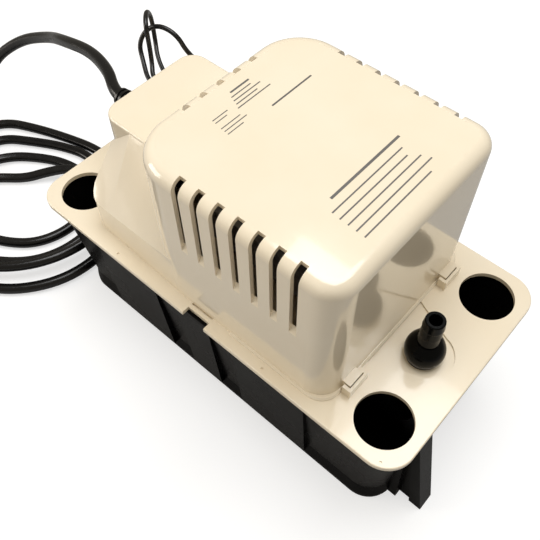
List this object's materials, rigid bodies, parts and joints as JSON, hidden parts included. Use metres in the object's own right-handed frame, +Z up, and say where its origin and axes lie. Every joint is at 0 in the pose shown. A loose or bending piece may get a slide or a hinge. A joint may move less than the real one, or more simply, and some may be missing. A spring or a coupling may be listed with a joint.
{
  "type": "condensate pump",
  "caption": "Condensate pump with an open-topped tank under a deck, a vented motor cover, inlet holes, a barbed check valve, a float switch, a power cord and signal leads.",
  "frame": {"origin": "centre of the tank's underside, on the floor", "axes": "+Z up, +X to the discharge end along the tank's length, +Y to the back"},
  "size_m": [0.4811, 0.2648, 0.175],
  "materials": {
    "tank_plastic": "black moulded plastic with a light satin",
    "deck_plastic": "beige moulded plastic, glossy",
    "cover_plastic": "beige moulded plastic, glossy",
    "core_steel": "laminated electrical steel",
    "bobbin_plastic": "natural nylon",
    "winding": "enamelled copper wire",
    "zinc_steel": "zinc-plated",
    "bronze": "sintered bronze",
    "rotor_metal": "die-cast cage on laminations",
    "shaft_steel": "ground stainless steel",
    "fan_plastic": "black nylon",
    "black_plastic": "black phenolic",
    "pump_plastic": "black glass-filled plastic",
    "seal_rubber": "black rubber",
    "valve_plastic": "black nylon, glossy",
    "float_plastic": "white foamed plastic",
    "cord_rubber": "black cord jacket, glossy",
    "nickel": "nickel-plated brass",
    "lead_plastic": "black wire insulation"
  },
  "bodies": {
    "base": {"tank": "tank_plastic", "deck": "deck_plastic", "stator_core": "core_steel", "coil_bobbin": "bobbin_plastic", "coil_winding": "winding", "upper_bracket": "zinc_steel", "lower_bracket": "zinc_steel", "upper_bearing": "bronze", "lower_bearing": "bronze", "motor_screws": "zinc_steel", "thermal_protector": "black_plastic", "pump_column": "pump_plastic", "volute_housing": "pump_plastic", "volute_cover": "pump_plastic", "volute_screws": "shaft_steel", "discharge_riser": "pump_plastic", "sealing_washer": "seal_rubber", "valve_body": "valve_plastic", "barb_fitting": "valve_plastic", "float_pin": "shaft_steel", "switch_bracket": "zinc_steel", "run_switch": "black_plastic", "safety_switch": "black_plastic", "power_strain_relief": "cord_rubber", "power_cord": "cord_rubber", "power_cord_coil": "cord_rubber", "plug_body": "cord_rubber", "plug_pins": "nickel", "lead_grommet": "seal_rubber", "lead_a": "lead_plastic", "lead_b": "lead_plastic", "lead_coil": "lead_plastic", "internal_wires": "lead_plastic"},
    "rotor_unit": {"rotor": "rotor_metal", "motor_shaft": "shaft_steel", "cooling_fan": "fan_plastic", "impeller": "pump_plastic"},
    "float_lever": {"float_body": "float_plastic", "float_arm": "black_plastic"},
    "push_rod": {"push_rod": "float_plastic"},
    "run_lever": {"run_lever": "shaft_steel"},
    "safety_lever": {"safety_lever": "shaft_steel"},
    "check_ball": {"check_ball": "shaft_steel"},
    "cover": {"motor_cover": "cover_plastic"}
  },
  "joints": [
    {"name": "rotor_spin", "type": "hinge", "parent": "base", "child": "rotor_unit", "pos_m": [0.026, 0, 0.1], "axis": [0, 0, 1], "continuous": true},
    {"name": "float_hinge", "type": "hinge", "parent": "base", "child": "float_lever", "pos_m": [-0.03, 0, 0.066], "axis": [0, 1, 0], "range_deg": [0, 16.7]},
    {"name": "push_rod_slide", "type": "slide", "parent": "base", "child": "push_rod", "axis": [0, 0, 1], "range_m": [0, 0.00685]},
    {"name": "run_lever_hinge", "type": "hinge", "parent": "base", "child": "run_lever", "pos_m": [-0.079, -0.0055, 0.1054], "axis": [0, -1, 0], "range_deg": [0, 13.53]},
    {"name": "safety_lever_hinge", "type": "hinge", "parent": "base", "child": "safety_lever", "pos_m": [-0.079, 0.0055, 0.1054], "axis": [0, -1, 0], "range_deg": [0, 13.53]},
    {"name": "check_ball_slide", "type": "slide", "parent": "base", "child": "check_ball", "axis": [0, 0, 1], "range_m": [0, 0.003]},
    {"name": "cover_lift", "type": "slide", "parent": "base", "child": "cover", "axis": [0, 0, 1], "range_m": [0, 0.095]}
  ],
  "couplings": [
    {"joint": "push_rod_slide", "follows": "float_hinge", "m_per_rad": 0.0235},
    {"joint": "run_lever_hinge", "follows": "float_hinge", "ratio": 0.81},
    {"joint": "safety_lever_hinge", "follows": "float_hinge", "ratio": 0.81}
  ]
}
